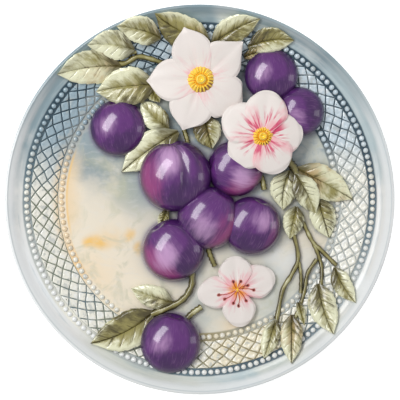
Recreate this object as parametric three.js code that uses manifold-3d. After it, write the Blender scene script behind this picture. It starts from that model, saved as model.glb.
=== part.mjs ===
// A round glazed ceramic wall plate, cast in one piece with its relief.
// Nine plums, three blossoms, leaves and stems stand on a shallow dish. Round the dish runs a band of
// diamond cells between two rows of beads, and outside it a smooth border that flares up to the lip.
// The plate lies face up on its foot ring: +Z is up, +Y is the top of the plate as it hangs, and the
// origin is the middle of the foot ring on the surface that the plate lies on. Sizes are millimetres.
import * as THREE from "three";
import { mergeVertices } from "three/addons/utils/BufferGeometryUtils.js";
import Module from "manifold-3d";

const wasm = await Module();
wasm.setup();

// Driving dimensions of the dish
const PLATE_DIAMETER = 250;
const PLATE_HEIGHT = 26;
const WALL_THICKNESS = 6;
const LIP_THICKNESS = 4;
const FOOT_RING_DIAMETER = 148;
const FOOT_RING_WIDTH = 6.5;
const FOOT_RING_HEIGHT = 6.5;

// Driving dimensions of the border pattern
const RIM_BORDER_WIDTH = 11.7;
const BEAD_WIDTH = 3.6;
const BEAD_PITCH = 4.25;
const BEAD_HEIGHT = 1.4;
const GUTTER_WIDTH = 0.5;
const LATTICE_WIDTH = 17.6;
const LATTICE_PITCH = 8.7;
const LATTICE_DEPTH = 1;
const LATTICE_HALF_ROWS = 5;
const BAND_SLOPE = 0.26;

// Driving dimensions of the two holes that take the hanging wire, at eleven and one o'clock
const WIRE_HOLE_DIAMETER = 2.8;
const WIRE_HOLE_ANGLE = THREE.MathUtils.degToRad(30);

// Flat sides that stand for the round of the dish
const DISH_SIDES = 60;
// Relief and pattern solids reach this far down into the dish, so that each one is joined to it.
const SINK = WALL_THICKNESS / 3;
// The pattern's lowest lines stand this far over the dish, so that the dish never shows through it.
const PATTERN_CLEARANCE = 0.2;

// Radii and levels that follow from the driving dimensions
const plateRadius = PLATE_DIAMETER / 2;
const footRadius = FOOT_RING_DIAMETER / 2;
const wellLevel = FOOT_RING_HEIGHT + WALL_THICKNESS;
const rimInner = plateRadius - RIM_BORDER_WIDTH;
const beadTrack = BEAD_WIDTH + GUTTER_WIDTH;
const latticeOuter = rimInner - beadTrack;
const latticeInner = latticeOuter - LATTICE_WIDTH;
const wellEdge = latticeInner - beadTrack;
const rimInnerLevel = wellLevel + (rimInner - wellEdge) * BAND_SLOPE;
const patternCount = Math.round((Math.PI * (latticeInner + latticeOuter)) / LATTICE_PITCH);

// The upper side of the dish from its middle to the lip, as radius and height
const rimRise = PLATE_HEIGHT - LIP_THICKNESS / 2 - rimInnerLevel;
const topProfile = [
  new THREE.Vector2(0, wellLevel),
  new THREE.Vector2(wellEdge, wellLevel),
  new THREE.Vector2(rimInner, rimInnerLevel),
  new THREE.Vector2(rimInner + RIM_BORDER_WIDTH * 0.42, rimInnerLevel + rimRise * 0.36),
  new THREE.Vector2(plateRadius - LIP_THICKNESS * 0.6, PLATE_HEIGHT),
];

// Height of the dish's upper side at a radius
function plateTop(radius) {
  for (let i = 1; i < topProfile.length; i++) {
    const [inner, outer] = [topProfile[i - 1], topProfile[i]];
    if (radius <= outer.x) {
      return THREE.MathUtils.mapLinear(radius, inner.x, outer.x, inner.y, outer.y);
    }
  }
  return PLATE_HEIGHT;
}

// Relief places and sizes are shares of the plate's radius, in hundredths.
const share = plateRadius / 100;

const polar = (radius, angle) => new THREE.Vector2(radius * Math.cos(angle), radius * Math.sin(angle));

// A closed geometry as a solid that can be joined and cut
function solid(geometry) {
  geometry.deleteAttribute("normal");
  geometry.deleteAttribute("uv");
  const merged = mergeVertices(geometry, 1e-4);
  return new wasm.Manifold(
    new wasm.Mesh({
      numProp: 3,
      vertProperties: merged.attributes.position.array,
      triVerts: new Uint32Array(merged.index.array),
    }),
  );
}

// A solid under a patch of raised surface. The patch is a list of triangles that are seen from above.
// The solid's underside is the same patch laid inside the wall of the dish, with walls round its edge.
// pull draws the underside towards a centre, for a form that is wider at its edge than where it grows.
function raised(triangles, { centre = new THREE.Vector2(), pull = 0 } = {}) {
  const points = new Map();
  const keyOf = (p) => p.toArray().map((v) => v.toFixed(4)).join(" ");
  const buried = (p) => {
    const place = new THREE.Vector2(p.x, p.y).lerp(centre, pull);
    return new THREE.Vector3(place.x, place.y, plateTop(place.length()) - SINK);
  };
  const faces = [];
  const edges = new Map();
  for (const corners of triangles) {
    const keys = corners.map(keyOf);
    if (new Set(keys).size < 3) continue;
    const [a, b, c] = corners;
    const facing = (b.x - a.x) * (c.y - a.y) - (b.y - a.y) * (c.x - a.x);
    if (facing < 0) keys.reverse();
    corners.forEach((p) => points.set(keyOf(p), p));
    faces.push(keys);
    keys.forEach((key, i) => edges.set(key + "|" + keys[(i + 1) % 3], [key, keys[(i + 1) % 3]]));
  }
  const positions = [];
  const top = (key) => points.get(key);
  const under = (key) => buried(points.get(key));
  const face = (...corners) => corners.forEach((p) => positions.push(p.x, p.y, p.z));
  for (const [a, b, c] of faces) {
    face(top(a), top(b), top(c));
    face(under(c), under(b), under(a));
  }
  for (const [a, b] of edges.values()) {
    if (edges.has(b + "|" + a)) continue;
    face(top(b), top(a), under(a));
    face(top(b), under(a), under(b));
  }
  const geometry = new THREE.BufferGeometry();
  geometry.setAttribute("position", new THREE.Float32BufferAttribute(positions, 3));
  return solid(geometry);
}

// The triangles between neighbouring rows of points
function patch(rows) {
  const triangles = [];
  for (let i = 1; i < rows.length; i++) {
    for (let j = 1; j < rows[i].length; j++) {
      const [a, b] = [rows[i - 1][j - 1], rows[i - 1][j]];
      const [c, d] = [rows[i][j], rows[i][j - 1]];
      triangles.push([a, b, c], [a, c, d]);
    }
  }
  return triangles;
}

// The dish with its foot ring, turned about its middle
function dish() {
  const footInner = footRadius - FOOT_RING_WIDTH;
  const footTaper = FOOT_RING_WIDTH * 0.18;
  const wallDrop = WALL_THICKNESS * 1.02;
  const under = (radius) => new THREE.Vector2(radius, plateTop(radius) - wallDrop);
  const profile = [
    ...topProfile,
    new THREE.Vector2(plateRadius, PLATE_HEIGHT - LIP_THICKNESS * 0.35),
    new THREE.Vector2(plateRadius - LIP_THICKNESS * 0.12, PLATE_HEIGHT - LIP_THICKNESS * 0.85),
    under(rimInner),
    under(wellEdge),
    new THREE.Vector2(footRadius + footTaper, FOOT_RING_HEIGHT * 0.9),
    new THREE.Vector2(footRadius, 0),
    new THREE.Vector2(footInner, 0),
    new THREE.Vector2(footInner - footTaper, FOOT_RING_HEIGHT),
    new THREE.Vector2(0, FOOT_RING_HEIGHT),
  ].reverse();
  const geometry = new THREE.LatheGeometry(profile, DISH_SIDES);
  geometry.rotateX(Math.PI / 2);
  return solid(geometry);
}

// A point of the border pattern: a place on the dish, with a lift over its lowest lines
function borderPoint(radius, angle, lift = 0) {
  const flat = polar(radius, angle);
  return new THREE.Vector3(flat.x, flat.y, plateTop(radius) + PATTERN_CLEARANCE + lift);
}

// The band of diamond cells. A point on a ring of the band is a crossing of grooves or the middle of
// a cell, turn and turn about. Each whole cell rises to its middle. Cells on the band's two edges are
// cut in half by them and lie flat.
function latticeBand() {
  const halfStep = Math.PI / patternCount;
  const rowStep = LATTICE_WIDTH / LATTICE_HALF_ROWS;
  const place = (row, column) => borderPoint(latticeInner + row * rowStep, column * halfStep);
  const triangles = [];
  const edge = (row) => {
    const first = row % 2;
    return Array.from({ length: patternCount }, (_, i) => place(row, 2 * i + first));
  };
  for (let column = 0; column < patternCount; column++) {
    const last = LATTICE_HALF_ROWS;
    const shift = last % 2;
    const [low, high] = [2 * column, 2 * column + shift];
    triangles.push([place(0, low), place(0, low + 2), place(1, low + 1)]);
    triangles.push([place(last, high), place(last, high + 2), place(last - 1, high + 1)]);
  }
  for (let row = 1; row < LATTICE_HALF_ROWS; row++) {
    for (let column = 1 - (row % 2); column < 2 * patternCount; column += 2) {
      const corners = [
        place(row, column - 1),
        place(row + 1, column),
        place(row, column + 1),
        place(row - 1, column),
      ];
      const crown = borderPoint(latticeInner + row * rowStep, column * halfStep, LATTICE_DEPTH);
      corners.forEach((p, i) => triangles.push([p, corners[(i + 1) % 4], crown]));
    }
  }
  return { triangles, inner: edge(0), outer: edge(LATTICE_HALF_ROWS) };
}

// A row of beads. Each bead has four sides that run down to the gutters and to its neighbours.
function beadRow(radius) {
  const count = Math.round((2 * Math.PI * radius) / BEAD_PITCH);
  const step = (2 * Math.PI) / count;
  const ring = (offset) =>
    Array.from({ length: count }, (_, i) => borderPoint(radius + offset, i * step));
  const [inner, outer] = [ring(-BEAD_WIDTH / 2), ring(BEAD_WIDTH / 2)];
  const triangles = [];
  for (let i = 0; i < count; i++) {
    const next = (i + 1) % count;
    const crown = borderPoint(radius, (i + 0.5) * step, BEAD_HEIGHT);
    const corners = [inner[i], inner[next], outer[next], outer[i]];
    corners.forEach((p, j) => triangles.push([p, corners[(j + 1) % 4], crown]));
  }
  return { triangles, inner, outer };
}

// The flat gutter between two rings that may have different numbers of points
function gutter(inner, outer) {
  const triangles = [];
  let [i, j] = [0, 0];
  while (i < inner.length || j < outer.length) {
    const [a, b] = [inner[i % inner.length], outer[j % outer.length]];
    if (j >= outer.length || (i + 1) / inner.length <= (j + 1) / outer.length) {
      i += 1;
      triangles.push([a, b, inner[i % inner.length]]);
    } else {
      j += 1;
      triangles.push([a, b, outer[j % outer.length]]);
    }
  }
  return triangles;
}

// The whole border pattern: beads, diamond cells and beads, with a gutter between each two
function borderPattern() {
  const innerBeads = beadRow(latticeInner - GUTTER_WIDTH - BEAD_WIDTH / 2);
  const lattice = latticeBand();
  const outerBeads = beadRow(latticeOuter + GUTTER_WIDTH + BEAD_WIDTH / 2);
  return raised([
    ...innerBeads.triangles,
    ...gutter(innerBeads.outer, lattice.inner),
    ...lattice.triangles,
    ...gutter(lattice.outer, outerBeads.inner),
    ...outerBeads.triangles,
  ]);
}

// A dome over a round outline, with an upright wall where it meets the dish. Each ring is a share of
// the dome's radius.
function dome({ at: [x, y], radius, height, sides = 14, rings = [1, 0.86, 0.54, 0] }) {
  const centre = new THREE.Vector2(x, y).multiplyScalar(share);
  const level = plateTop(centre.length());
  const wallShare = 0.25;
  const rows = rings.map((ring) => {
    const rise = height * share * (wallShare + (1 - wallShare) * Math.sqrt(1 - ring * ring));
    return Array.from({ length: sides + 1 }, (_, i) => {
      const flat = polar(radius * share * ring, ((i % sides) * 2 * Math.PI) / sides).add(centre);
      return new THREE.Vector3(flat.x, flat.y, level + rise);
    });
  });
  return raised(patch(rows));
}

// A leaf or petal. It runs from its base to its tip with a middle line and two edges.
// widths gives its half width along its length as shares, and lifts its height over the dish.
// dip lowers the middle line, as a leaf's rib, and bend bows the blade to its left.
function blade({ base, tip, width, lifts, widths, dip, bend = 0, centre, pull }) {
  const from = new THREE.Vector2(...base).multiplyScalar(share);
  const along = new THREE.Vector2(...tip).multiplyScalar(share).sub(from);
  const across = new THREE.Vector2(-along.y, along.x).normalize();
  const last = widths.length - 1;
  const liftAt = (t) => {
    const place = t * (lifts.length - 1);
    const low = Math.min(Math.floor(place), lifts.length - 2);
    return THREE.MathUtils.lerp(lifts[low], lifts[low + 1], place - low) * share;
  };
  const rows = widths.map((half, i) => {
    const t = i / last;
    const bow = 4 * bend * t * (1 - t) * along.length();
    return [-1, 0, 1].map((side) => {
      const offset = bow + (side * half * width * share) / 2;
      const flat = from.clone().addScaledVector(along, t).addScaledVector(across, offset);
      const lift = liftAt(t) - (side === 0 ? dip * half * share : 0);
      return new THREE.Vector3(flat.x, flat.y, plateTop(flat.length()) + lift);
    });
  });
  return raised(patch(rows), { centre: centre && centre.clone().multiplyScalar(share), pull });
}

// Half widths of a toothed leaf, of a small bud leaf, and of a pointed and a round petal
const leafWidths = [0.12, 0.74, 1, 0.86, 0.92, 0.6, 0];
const budWidths = [0.5, 1, 0.8, 0];
const pointedWidths = [0.34, 0.86, 1, 0.62, 0];
const roundWidths = [0.34, 0.84, 1, 0.88, 0.42];

const leaf = ([baseX, baseY, tipX, tipY, width, lift, bend]) =>
  blade({
    base: [baseX, baseY],
    tip: [tipX, tipY],
    width,
    bend,
    lifts: [lift * 0.8, lift, lift * 0.85, lift * 0.55],
    widths: width < 8 ? budWidths : leafWidths,
    dip: width < 8 ? 0 : 0.8,
  });

// A stem: a ridge along a smooth line through its points
function stem({ points, thickness }) {
  const line = new THREE.SplineCurve(points.map(([x, y]) => new THREE.Vector2(x, y).multiplyScalar(share)));
  const half = (thickness * share) / 2;
  const steps = Math.max(3, Math.round(line.getLength() / (9 * share)));
  const rows = line.getPoints(steps).map((flat, i) => {
    const along = line.getTangent(i / steps);
    const across = new THREE.Vector2(-along.y, along.x);
    return [-1, 0, 1].map((side) => {
      const place = flat.clone().addScaledVector(across, side * half);
      const lift = half * (side === 0 ? 1.9 : 1.1);
      return new THREE.Vector3(place.x, place.y, plateTop(place.length()) + lift);
    });
  });
  return raised(patch(rows));
}

// A blossom: petals round a domed middle. Each petal gives its direction in degrees, length and width.
function blossom({ at, petals, widths, lift, droop, pull, button }) {
  const centre = new THREE.Vector2(...at);
  const shapes = petals.map(([direction, length, width]) => {
    const tip = polar(length, THREE.MathUtils.degToRad(direction)).add(centre);
    return blade({
      base: at,
      tip: tip.toArray(),
      width,
      widths,
      lifts: [lift, lift * 1.02, lift - droop],
      dip: 0.6,
      centre,
      pull,
    });
  });
  const middle = { at, radius: button, height: lift + button * 0.45, sides: 9, rings: [1, 0.6, 0] };
  return [...shapes, dome(middle)];
}

const plums = [
  { at: [-42, 37], radius: 14.6, height: 11.5 },
  { at: [-12.5, 12], radius: 18.6, height: 16.5 },
  { at: [18.5, 16], radius: 14.5, height: 11 },
  { at: [4.5, -9.5], radius: 16.2, height: 14.5 },
  { at: [-13.5, -26], radius: 16, height: 13 },
  { at: [26.8, -13.5], radius: 15, height: 12 },
  { at: [-15, -74], radius: 15.6, height: 12.5 },
  { at: [37, 64], radius: 13.9, height: 11 },
  { at: [51.5, 45.3], radius: 12.8, height: 11.5 },
];

// Leaves: base, tip, width, lift over the dish and bow of the middle line
const leaves = [
  [-40.5, 68.5, -73, 64, 16.5, 3.4, -0.05],
  [-33.5, 77, -57.5, 79, 14.5, 3.8, -0.06],
  [-20, 83, -42.5, 88.5, 14, 4.2, -0.06],
  [5, 80.5, -22.9, 95, 17.5, 4.8, 0.05],
  [-22.5, 59, -53.5, 55.5, 19.5, 7, -0.03],
  [-27.5, 60, -20.5, 50, 8, 5.5, 0],
  [-16, 36.5, -30.5, 51, 12.5, 6, 0.05],
  [-11, 35, -40.5, 14, 17, 6.2, -0.03],
  [2, 43, 6.5, 26, 14.5, 4.5, 0],
  [6, 79, 31, 92.5, 14, 4.4, 0.06],
  [24.8, 78.5, 48.5, 81.5, 13, 4, 0.08],
  [50, 16, 79, 0, 17, 4.4, 0.01],
  [49.5, 13, 60, -7.5, 13, 6, 0.03],
  [46.5, 15, 43, -5.5, 14.5, 4.2, -0.07],
  [50, -3.5, 46.5, -20.5, 11, 4, 0],
  [61, 0.5, 67, -20, 13.5, 3.2, 0],
  [61, -43.5, 68.5, -69, 14.5, 3.8, -0.04],
  [69.5, -35, 80, -53, 10, 3.2, -0.05],
  [47.5, -59.5, 47, -84, 11.5, 4, 0],
  [51, -53, 54, -65, 4.5, 3, 0],
  [39.5, -62, 33, -82, 9, 3.4, 0],
  [-14, -53, -35.5, -46, 12, 4, 0.02],
  [-24, -58.5, -56, -74, 19, 4, 0.07],
  [-17, -6, -21, -15, 6, 3, 0],
];

const stems = [
  { points: [[-46, 71], [-39, 70], [-32, 73.5], [-25, 72.5], [-18, 70]], thickness: 3 },
  { points: [[53, -11], [58.4, -21.8], [62.8, -26.2], [70.5, -34]], thickness: 2.4 },
  { points: [[59, -23], [61.5, -29], [63.2, -36], [62.5, -46]], thickness: 2.2 },
  { points: [[48.5, -17], [51, -30], [47.5, -39], [43, -47], [39.5, -64]], thickness: 2.6 },
  { points: [[50.8, -29], [52.4, -39], [52.2, -48.5]], thickness: 2 },
  { points: [[60.5, -31], [56, -38], [54.5, -46], [52.5, -53], [49, -62]], thickness: 2.2 },
  { points: [[-4, -38], [-4, -44], [-7, -50], [-13, -54.5], [-25, -59.5]], thickness: 3.8 },
  { points: [[-9, -64], [-4, -59], [1, -55.5]], thickness: 3.4 },
  { points: [[4, -24], [6, -30], [8, -34.5]], thickness: 3 },
  { points: [[31, 16], [33.5, 8], [34, 2]], thickness: 4 },
  { points: [[46, 20], [49, 16], [51, 11]], thickness: 4.5 },
];

const blossoms = [
  {
    at: [0.7, 61.5],
    petals: [[108, 27.5, 21], [42, 28.5, 21], [-36, 25.5, 25], [250, 27, 23], [181, 27.5, 21]],
    widths: pointedWidths,
    lift: 9,
    droop: 3,
    pull: 0.3,
    button: 6.5,
  },
  {
    at: [32.3, 32.2],
    petals: [[83, 23, 21], [7, 21, 21], [-63, 20.5, 22], [218, 21, 21.5], [142, 23, 21]],
    widths: roundWidths,
    lift: 12.5,
    droop: 2.5,
    pull: 0.3,
    button: 5.6,
  },
  {
    at: [19.5, -46.5],
    petals: [[95, 16.5, 17.5], [22, 20.5, 15.5], [-85, 19.5, 16.5], [188, 21, 17]],
    widths: roundWidths,
    lift: 3.2,
    droop: 0.2,
    pull: 0,
    button: 3,
  },
];

// The two wire holes run through the foot ring, level with the table, either side of the top.
function wireHoles() {
  return [-1, 1].map((side) => {
    const length = FOOT_RING_WIDTH * 3;
    const hole = new THREE.CylinderGeometry(WIRE_HOLE_DIAMETER / 2, WIRE_HOLE_DIAMETER / 2, length, 10);
    hole.translate(0, footRadius - FOOT_RING_WIDTH / 2, FOOT_RING_HEIGHT / 2);
    hole.rotateZ(side * WIRE_HOLE_ANGLE);
    return solid(hole);
  });
}

function plateSolid() {
  const parts = [
    borderPattern(),
    ...leaves.map(leaf),
    ...stems.map(stem),
    ...plums.map(dome),
    ...blossoms.flatMap(blossom),
  ];
  const joined = parts.reduce((whole, part) => whole.add(part), dish());
  return wireHoles().reduce((whole, hole) => whole.subtract(hole), joined);
}

function geometryOf(made) {
  const mesh = made.getMesh();
  const geometry = new THREE.BufferGeometry();
  geometry.setAttribute("position", new THREE.BufferAttribute(mesh.vertProperties, 3));
  geometry.setIndex(new THREE.BufferAttribute(mesh.triVerts, 1));
  geometry.computeVertexNormals();
  return geometry;
}

const glaze = new THREE.MeshStandardMaterial({ color: 0xb9c6cb, roughness: 0.12, metalness: 0 });

const plate = new THREE.Mesh(geometryOf(plateSolid()), glaze);
plate.name = "plate";

const root = new THREE.Group();
root.add(plate);

export default root;
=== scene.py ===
"""A round glazed wall plate with plums, blossoms and leaves in relief, painted and lit for a picture.

The plate lies face up on its foot ring: +Z is up and +Y is the top of the plate as it hangs. Lengths
are metres. Places and widths in the relief tables are hundredths of the plate's radius.
"""

import math
import random

import bpy
import numpy as np
from mathutils import Matrix, Vector


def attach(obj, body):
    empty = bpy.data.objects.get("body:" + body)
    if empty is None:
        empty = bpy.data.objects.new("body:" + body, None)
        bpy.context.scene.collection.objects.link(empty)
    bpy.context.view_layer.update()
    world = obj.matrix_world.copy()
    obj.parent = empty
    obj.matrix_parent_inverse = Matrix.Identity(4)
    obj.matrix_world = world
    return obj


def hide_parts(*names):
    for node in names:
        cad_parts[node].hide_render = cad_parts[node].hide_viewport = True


bl_info = {
    "name": "Relief wall plate",
    "version": (1, 0, 0),
    "blender": (4, 5, 0),
    "location": "View3D > Sidebar > Wall plate",
    "description": "Builds a glazed wall plate with plums, blossoms and leaves in relief",
    "category": "Object",
}

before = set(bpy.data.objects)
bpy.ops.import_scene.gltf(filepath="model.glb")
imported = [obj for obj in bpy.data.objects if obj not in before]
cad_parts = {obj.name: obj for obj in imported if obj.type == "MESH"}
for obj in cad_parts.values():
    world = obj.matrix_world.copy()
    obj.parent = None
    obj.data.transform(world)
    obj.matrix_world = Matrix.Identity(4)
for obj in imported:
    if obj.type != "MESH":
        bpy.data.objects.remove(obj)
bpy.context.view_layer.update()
MILLIMETRE = 0.001


# Sizes and colours that a user would change


def length(description, millimetres):
    return bpy.props.FloatProperty(
        description=description,
        default=millimetres * MILLIMETRE,
        min=0,
        unit="LENGTH",
        precision=5,
    )


def paint(description, red, green, blue):
    """A colour given as it shows on a screen, in 255ths, and kept as light."""
    shown = [channel / 255 for channel in (red, green, blue)]
    light = [c / 12.92 if c <= 0.04045 else ((c + 0.055) / 1.055) ** 2.4 for c in shown]
    return bpy.props.FloatVectorProperty(
        description=description, default=light, size=3, min=0, max=1, subtype="COLOR"
    )


class PlateSizes(bpy.types.PropertyGroup):
    """Driving sizes of the dish and its border pattern."""

    diameter: length("Width of the plate over its lip", 250)
    height: length("Height of the lip over the table", 26)
    wall: length("Thickness of the dish", 6)
    lip: length("Thickness of the plate at its lip", 4)
    foot_diameter: length("Outer diameter of the foot ring", 148)
    foot_width: length("Width of the foot ring", 6.5)
    foot_height: length("Height of the foot ring", 6.5)
    rim_width: length("Width of the smooth border outside the pattern", 11.7)
    bead_width: length("Width of one bead", 3.6)
    bead_pitch: length("Distance from one bead to the next", 4.25)
    bead_height: length("Height of a bead over its gutters", 1.4)
    gutter: length("Gap between a row of beads and the lattice", 0.5)
    lattice_width: length("Width of the band of diamond cells", 17.6)
    lattice_pitch: length("Distance from one diamond cell to the next", 8.7)
    lattice_depth: length("Height of a diamond cell over its grooves", 1)
    clearance: length("Height of the pattern's lowest lines over the dish", 0.2)
    hole: length("Diameter of the two holes for the hanging wire", 2.8)
    hole_angle: bpy.props.FloatProperty(
        description="Turn of each wire hole away from the top of the plate",
        default=math.radians(30),
        unit="ROTATION",
    )
    band_slope: bpy.props.FloatProperty(
        description="Rise of the patterned band for its width", default=0.26, min=0, max=1
    )


class PlateColours(bpy.types.PropertyGroup):
    """Glaze colours of the plate, its relief and the stage."""

    rim_blue: paint("Blue-grey glaze on the upper right of the rim", 178, 194, 198)
    rim_slate: paint("Darker blue-grey glaze on the upper left of the rim", 142, 162, 170)
    rim_white: paint("Greyish white glaze on the rest of the rim", 222, 222, 219)
    groove_blue: paint("Dark glaze that fills the grooves at the top", 44, 70, 84)
    groove_slate: paint("Blue-grey glaze where groove colours meet", 98, 120, 130)
    groove_sage: paint("Grey-green glaze in the grooves at the left", 132, 140, 122)
    groove_tan: paint("Olive tan glaze in the grooves at the bottom", 158, 146, 108)
    groove_pale: paint("Thin grey glaze in the grooves at the right", 176, 182, 180)
    band_blue: paint("Pale blue glaze on beads and cells at the top", 196, 212, 222)
    band_steel: paint("Grey-blue glaze on beads and cells at the upper left", 148, 170, 182)
    band_white: paint("White glaze on beads and cells at the lower left", 232, 235, 236)
    band_cream: paint("Cream glaze on beads and cells at the sides", 234, 232, 220)
    band_tan: paint("Warm cream glaze on beads and cells at the bottom", 232, 222, 194)
    well_cream: paint("Cream ground of the dish", 236, 225, 205)
    well_blue: paint("Blue-grey ground round the top of the fruit", 150, 166, 172)
    well_grey: paint("Pale grey-green ground at the lower right", 200, 204, 196)
    well_sage: paint("Olive grey touches on the ground", 188, 190, 166)
    peach: paint("Warm wash on the ground", 240, 208, 158)
    orange: paint("Yellow-orange touches on the ground", 240, 190, 90)
    # plum_dark also paints the shade in the plums' clefts
    plum_dark: paint("Darkest glaze on the plums", 48, 18, 72)
    plum_violet: paint("Main glaze on the plums", 94, 40, 114)
    plum_magenta: paint("Reddish strokes on the plums", 148, 62, 120)
    # Pale lilac of the painted highlights on the plums, also laid in thin strokes
    plum_lilac: paint("Pale bloom on the plums", 204, 162, 206)
    leaf_olive: paint("Main glaze on the leaves", 148, 140, 82)
    # leaf_dark also paints the shade on the stems' sides, and leaf_pale their painted highlight
    leaf_dark: paint("Veins and shaded parts of the leaves", 66, 58, 26)
    leaf_pale: paint("Pale edges and tips of the leaves", 228, 228, 196)
    leaf_gold: paint("Golden brown parts of the leaves", 176, 138, 78)
    petal_white: paint("Ground of the petals", 229, 221, 216)
    petal_pink: paint("Pink wash on the petals", 240, 166, 176)
    petal_streak: paint("Deep pink strokes by the hearts", 208, 74, 112)
    heart_yellow: paint("Yellow of the flower hearts", 255, 218, 78)
    heart_orange: paint("Shaded parts of the flower hearts", 232, 146, 30)
    # Brown of the painted shade on the hearts' lower right
    heart_brown: paint("Darkest gaps in the flower hearts", 122, 62, 22)
    stamen_red: paint("Painted stamens of the flat blossom", 168, 58, 40)
    stamen_dark: paint("Dark tips of the painted stamens", 70, 24, 26)
    bisque: paint("Bare fired clay under the foot ring", 222, 208, 186)
    floor: paint("Ground that the plate lies on", 250, 250, 250)


# Form of the dish


def smooth_through(values, places):
    """Values along a smooth line through evenly spaced values, at places from 0 to 1."""
    values = np.asarray(values, float)
    span = len(values) - 1
    position = np.clip(np.asarray(places, float), 0, 1) * span
    low = np.clip(np.floor(position).astype(int), 0, span - 1)
    part = position - low
    padded = np.concatenate(([2 * values[0] - values[1]], values, [2 * values[-1] - values[-2]]))
    before, start, end, after = (padded[low + i] for i in range(4))
    return 0.5 * (
        2 * start
        + (end - before) * part
        + (2 * before - 5 * start + 4 * end - after) * part**2
        + (3 * start - before - 3 * end + after) * part**3
    )


def smooth_step(value, low, high):
    part = np.clip((value - low) / (high - low), 0, 1)
    return part * part * (3 - 2 * part)


def bell(distance, reach):
    """1 where the distance is nothing, falling away over the reach."""
    return np.exp(-((distance / reach) ** 2))


def from_axis(points):
    """How far points are from x and y of 0."""
    return np.hypot(points[:, 0], points[:, 1])


class PlateForm:
    """Radii and levels that follow from the driving sizes."""

    def __init__(self):
        sizes = bpy.context.scene.plate_sizes
        self.sizes = sizes
        self.radius = sizes.diameter / 2
        self.share = self.radius / 100
        self.well_level = sizes.foot_height + sizes.wall
        self.rim_inner = self.radius - sizes.rim_width
        track = sizes.bead_width + sizes.gutter
        self.lattice_outer = self.rim_inner - track
        self.lattice_inner = self.lattice_outer - sizes.lattice_width
        self.well_edge = self.lattice_inner - track
        rim_level = self.well_level + (self.rim_inner - self.well_edge) * sizes.band_slope
        rise = sizes.height - sizes.lip / 2 - rim_level
        self.radii = [
            0,
            self.well_edge,
            self.rim_inner,
            self.rim_inner + sizes.rim_width * 0.42,
            self.radius - sizes.lip * 0.6,
        ]
        self.levels = [self.well_level, self.well_level, rim_level, rim_level + rise * 0.36, sizes.height]
        self.sink = sizes.wall / 3

    def top(self, radius):
        """Height of the dish's upper side, with its corners eased."""
        reach = 2.4 * MILLIMETRE
        offsets = np.linspace(-reach, reach, 9)
        spread = np.asarray(radius, float)[..., None] + offsets
        return np.interp(np.abs(spread), self.radii, self.levels).mean(axis=-1)

    def top_at(self, points):
        """The same height over places given by their x and y."""
        return self.top(from_axis(points))


# Mesh work


def deselect():
    bpy.ops.object.select_all(action="DESELECT")


def take(obj):
    """Make one object the only selected one."""
    deselect()
    obj.select_set(True)
    bpy.context.view_layer.objects.active = obj
    return obj


def mesh_object(name, points, edges=(), faces=()):
    mesh = bpy.data.meshes.new(name)
    mesh.from_pydata([tuple(p) for p in points], edges, faces)
    obj = bpy.data.objects.new(name, mesh)
    bpy.context.collection.objects.link(obj)
    return take(obj)


def in_edit_mode(obj, *steps):
    """Run edit mode steps on an object with all of it selected before each."""
    take(obj)
    bpy.ops.object.mode_set(mode="EDIT")
    for step in steps:
        bpy.ops.mesh.select_all(action="SELECT")
        step()
    bpy.ops.object.mode_set(mode="OBJECT")


def turn_outwards(obj):
    """Turn every face of a closed mesh outwards."""
    in_edit_mode(obj, lambda: bpy.ops.mesh.normals_make_consistent(inside=False))


def ball(segments, rings):
    """A sphere with a radius of 1."""
    deselect()
    bpy.ops.mesh.primitive_uv_sphere_add(segments=segments, ring_count=rings, radius=1)
    return bpy.context.object


def extrude(obj, drop):
    """Close an open mesh with a moved copy of its faces, which stays selected."""
    move = {"value": (0, 0, drop)}
    in_edit_mode(obj, lambda: bpy.ops.mesh.extrude_region_move(TRANSFORM_OT_translate=move))


def close_up(obj):
    """Merge doubled points, such as those of a seam, and turn every face outwards."""
    in_edit_mode(obj, lambda: bpy.ops.mesh.remove_doubles(threshold=0.002 * MILLIMETRE))
    turn_outwards(obj)


def points_of(obj):
    points = np.empty(len(obj.data.vertices) * 3)
    obj.data.vertices.foreach_get("co", points)
    return points.reshape(-1, 3)


def move_points(obj, points):
    obj.data.vertices.foreach_set("co", np.asarray(points, float).ravel())
    obj.data.update()


def keep_values(obj, **values):
    """Keep named numbers, one for each point or one for all, which a material can read."""
    for name, numbers in values.items():
        attribute = obj.data.attributes.new(name, "FLOAT", "POINT")
        spread = np.zeros(len(attribute.data)) + numbers
        attribute.data.foreach_set("value", spread.astype(np.float32))


def keep_vectors(obj, name, vectors):
    attribute = obj.data.attributes.new(name, "FLOAT_VECTOR", "POINT")
    attribute.data.foreach_set("vector", np.asarray(vectors, np.float32).ravel())


def join(objects):
    take(objects[0])
    for obj in objects:
        obj.select_set(True)
    if len(objects) > 1:
        bpy.ops.object.join()
    return bpy.context.object


def finish(obj, name, material, smooth_angle=40):
    """Name a piece, paint it, and make it ride on the plate's body."""
    take(obj)
    obj.name = name
    obj.data.name = name
    bpy.ops.object.shade_smooth_by_angle(angle=math.radians(smooth_angle))
    obj.data.materials.clear()
    obj.data.materials.append(material)
    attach(obj, "root")
    return obj


# Materials


class Wire:
    """A node's output, whose sums and products add Math nodes."""

    def __init__(self, palette, socket):
        self.palette = palette
        self.socket = socket

    def __add__(self, other):
        return self.palette.maths("ADD", self, other)

    def __sub__(self, other):
        return self.palette.maths("SUBTRACT", self, other)

    def __rsub__(self, other):
        return self.palette.maths("SUBTRACT", other, self)

    def __mul__(self, other):
        return self.palette.maths("MULTIPLY", self, other)

    def __pow__(self, other):
        return self.palette.maths("POWER", self, other)

    __radd__ = __add__
    __rmul__ = __mul__

    def ease(self, low, high):
        """0 where the value is low, 1 where it is high, and smooth between."""
        sockets = {"Value": self, "From Min": low, "From Max": high}
        return self.palette.add("ShaderNodeMapRange", {"interpolation_type": "SMOOTHSTEP"}, sockets)

    def mix(self, factor, other):
        """This colour, blended by the factor with another one or with a paint, given by its name."""
        return self.palette.mix(factor, self, other)


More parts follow.
